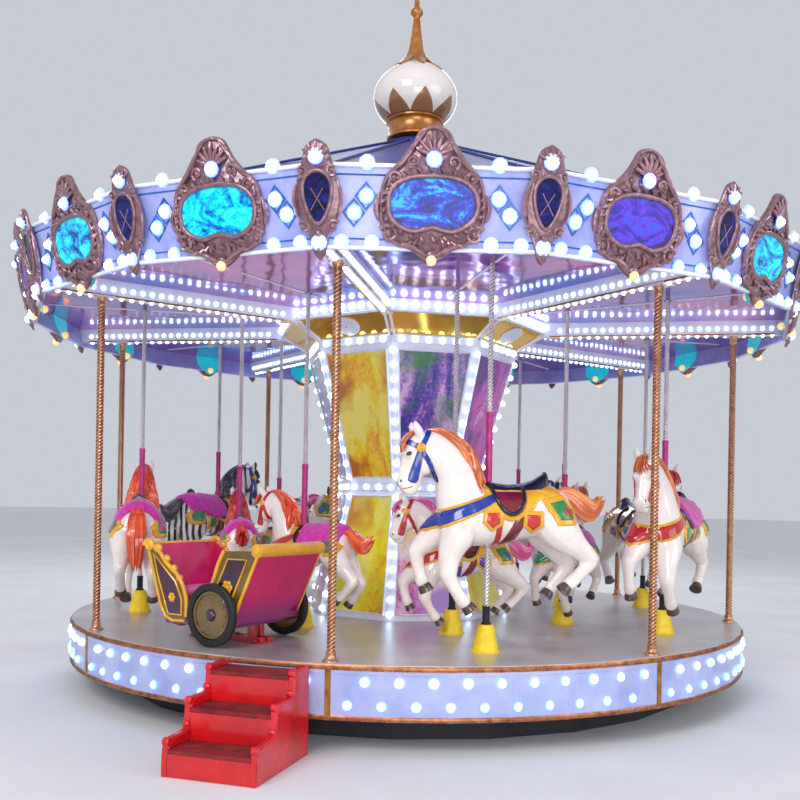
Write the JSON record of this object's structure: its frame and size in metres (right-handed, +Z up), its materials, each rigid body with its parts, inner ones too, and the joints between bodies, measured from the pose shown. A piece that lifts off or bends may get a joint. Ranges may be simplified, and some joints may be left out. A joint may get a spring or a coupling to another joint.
{
  "type": "fairground carousel",
  "caption": "Fairground carousel: rising horses and a chariot on a turning deck round a panelled centre casing, under a crown of shields, a cone roof and an onion dome, with boarding steps.",
  "frame": {"origin": "on the ground under the carousel, at the middle of its bounding box", "axes": "+Z up along the axis it turns about; -Y towards the middle of the front bay"},
  "size_m": [6.8186, 6.8186, 6.3],
  "materials": {
    "dark_steel": "satin dark grey paint",
    "deck_plate": "worn tread plate",
    "blue_panel": "gloss lilac-blue paint",
    "picture_panel": "gloss painted panels in white frames",
    "gold_mirror": "gold-tinted mirror",
    "white_metal": "gloss white paint",
    "mirror_ceiling": "pink and violet mirror panels",
    "roof_sheet": "dark blue satin paint on fibreglass",
    "crown_paint": "gloss lilac fibreglass with mauve carving",
    "finial_gold": "gold-orange gloss paint",
    "dome_white": "gloss white fibreglass",
    "brass_tube": "polished twisted tube",
    "horse_gloss": "gloss painted fibreglass",
    "chariot_gloss": "gloss magenta and gold fibreglass",
    "wheel_black": "black with gold disc",
    "step_red": "gloss red paint"
  },
  "bodies": {
    "base": {"base_frame": "dark_steel", "step_side_left": "step_red", "step_side_right": "step_red", "step_tread_1": "step_red", "step_tread_2": "step_red", "step_tread_3": "step_red"},
    "turntable": {"deck": "deck_plate", "deck_skirt": "blue_panel", "casing_lower": "picture_panel", "casing_upper": "picture_panel", "cornice": "gold_mirror", "hub_ring": "white_metal", "ceiling": "mirror_ceiling", "roof_canopy": "roof_sheet", "roof_mast": "dark_steel", "finial_collar": "finial_gold", "onion_dome": "dome_white", "finial_spire": "finial_gold", "beam_1": "white_metal", "post_1": "brass_tube", "crown_section_1": "crown_paint", "beam_2": "white_metal", "post_2": "brass_tube", "crown_section_2": "crown_paint", "beam_3": "white_metal", "post_3": "brass_tube", "crown_section_3": "crown_paint", "beam_4": "white_metal", "post_4": "brass_tube", "crown_section_4": "crown_paint", "beam_5": "white_metal", "post_5": "brass_tube", "crown_section_5": "crown_paint", "beam_6": "white_metal", "post_6": "brass_tube", "crown_section_6": "crown_paint", "beam_7": "white_metal", "post_7": "brass_tube", "crown_section_7": "crown_paint", "beam_8": "white_metal", "post_8": "brass_tube", "crown_section_8": "crown_paint", "chariot_body": "chariot_gloss", "chariot_wheel_inner": "wheel_black", "chariot_wheel_outer": "wheel_black"},
    "horse_outer_1_on_pole": {"horse_outer_1": "horse_gloss"},
    "horse_outer_2_on_pole": {"horse_outer_2": "horse_gloss"},
    "horse_outer_3_on_pole": {"horse_outer_3": "horse_gloss"},
    "horse_outer_4_on_pole": {"horse_outer_4": "horse_gloss"},
    "horse_outer_5_on_pole": {"horse_outer_5": "horse_gloss"},
    "horse_outer_6_on_pole": {"horse_outer_6": "horse_gloss"},
    "horse_outer_7_on_pole": {"horse_outer_7": "horse_gloss"},
    "horse_inner_1_on_pole": {"horse_inner_1": "horse_gloss"},
    "horse_inner_2_on_pole": {"horse_inner_2": "horse_gloss"},
    "horse_inner_3_on_pole": {"horse_inner_3": "horse_gloss"},
    "horse_inner_4_on_pole": {"horse_inner_4": "horse_gloss"},
    "horse_inner_5_on_pole": {"horse_inner_5": "horse_gloss"},
    "horse_inner_6_on_pole": {"horse_inner_6": "horse_gloss"},
    "horse_inner_7_on_pole": {"horse_inner_7": "horse_gloss"},
    "horse_inner_8_on_pole": {"horse_inner_8": "horse_gloss"}
  },
  "joints": [
    {"name": "deck_spin", "type": "hinge", "parent": "base", "child": "turntable", "pos_m": [0, 0, 0.4], "axis": [0, 0, 1], "continuous": true},
    {"name": "horse_outer_1_rise", "type": "slide", "parent": "turntable", "child": "horse_outer_1_on_pole", "axis": [0, 0, 1], "range_m": [-0.24, 0]},
    {"name": "horse_outer_2_rise", "type": "slide", "parent": "turntable", "child": "horse_outer_2_on_pole", "axis": [0, 0, 1], "range_m": [-0.14, 0.1]},
    {"name": "horse_outer_3_rise", "type": "slide", "parent": "turntable", "child": "horse_outer_3_on_pole", "axis": [0, 0, 1], "range_m": [-0.09, 0.15]},
    {"name": "horse_outer_4_rise", "type": "slide", "parent": "turntable", "child": "horse_outer_4_on_pole", "axis": [0, 0, 1], "range_m": [0, 0.24]},
    {"name": "horse_outer_5_rise", "type": "slide", "parent": "turntable", "child": "horse_outer_5_on_pole", "axis": [0, 0, 1], "range_m": [-0.17, 0.07]},
    {"name": "horse_outer_6_rise", "type": "slide", "parent": "turntable", "child": "horse_outer_6_on_pole", "axis": [0, 0, 1], "range_m": [-0.1, 0.14]},
    {"name": "horse_outer_7_rise", "type": "slide", "parent": "turntable", "child": "horse_outer_7_on_pole", "axis": [0, 0, 1], "range_m": [-0.04, 0.2]},
    {"name": "horse_inner_1_rise", "type": "slide", "parent": "turntable", "child": "horse_inner_1_on_pole", "axis": [0, 0, 1], "range_m": [-0.04, 0.16]},
    {"name": "horse_inner_2_rise", "type": "slide", "parent": "turntable", "child": "horse_inner_2_on_pole", "axis": [0, 0, 1], "range_m": [-0.05, 0.15]},
    {"name": "horse_inner_3_rise", "type": "slide", "parent": "turntable", "child": "horse_inner_3_on_pole", "axis": [0, 0, 1], "range_m": [-0.18, 0.02]},
    {"name": "horse_inner_4_rise", "type": "slide", "parent": "turntable", "child": "horse_inner_4_on_pole", "axis": [0, 0, 1], "range_m": [-0.13, 0.07]},
    {"name": "horse_inner_5_rise", "type": "slide", "parent": "turntable", "child": "horse_inner_5_on_pole", "axis": [0, 0, 1], "range_m": [-0.02, 0.18]},
    {"name": "horse_inner_6_rise", "type": "slide", "parent": "turntable", "child": "horse_inner_6_on_pole", "axis": [0, 0, 1], "range_m": [-0.01, 0.19]},
    {"name": "horse_inner_7_rise", "type": "slide", "parent": "turntable", "child": "horse_inner_7_on_pole", "axis": [0, 0, 1], "range_m": [-0.08, 0.12]},
    {"name": "horse_inner_8_rise", "type": "slide", "parent": "turntable", "child": "horse_inner_8_on_pole", "axis": [0, 0, 1], "range_m": [-0.08, 0.12]}
  ]
}
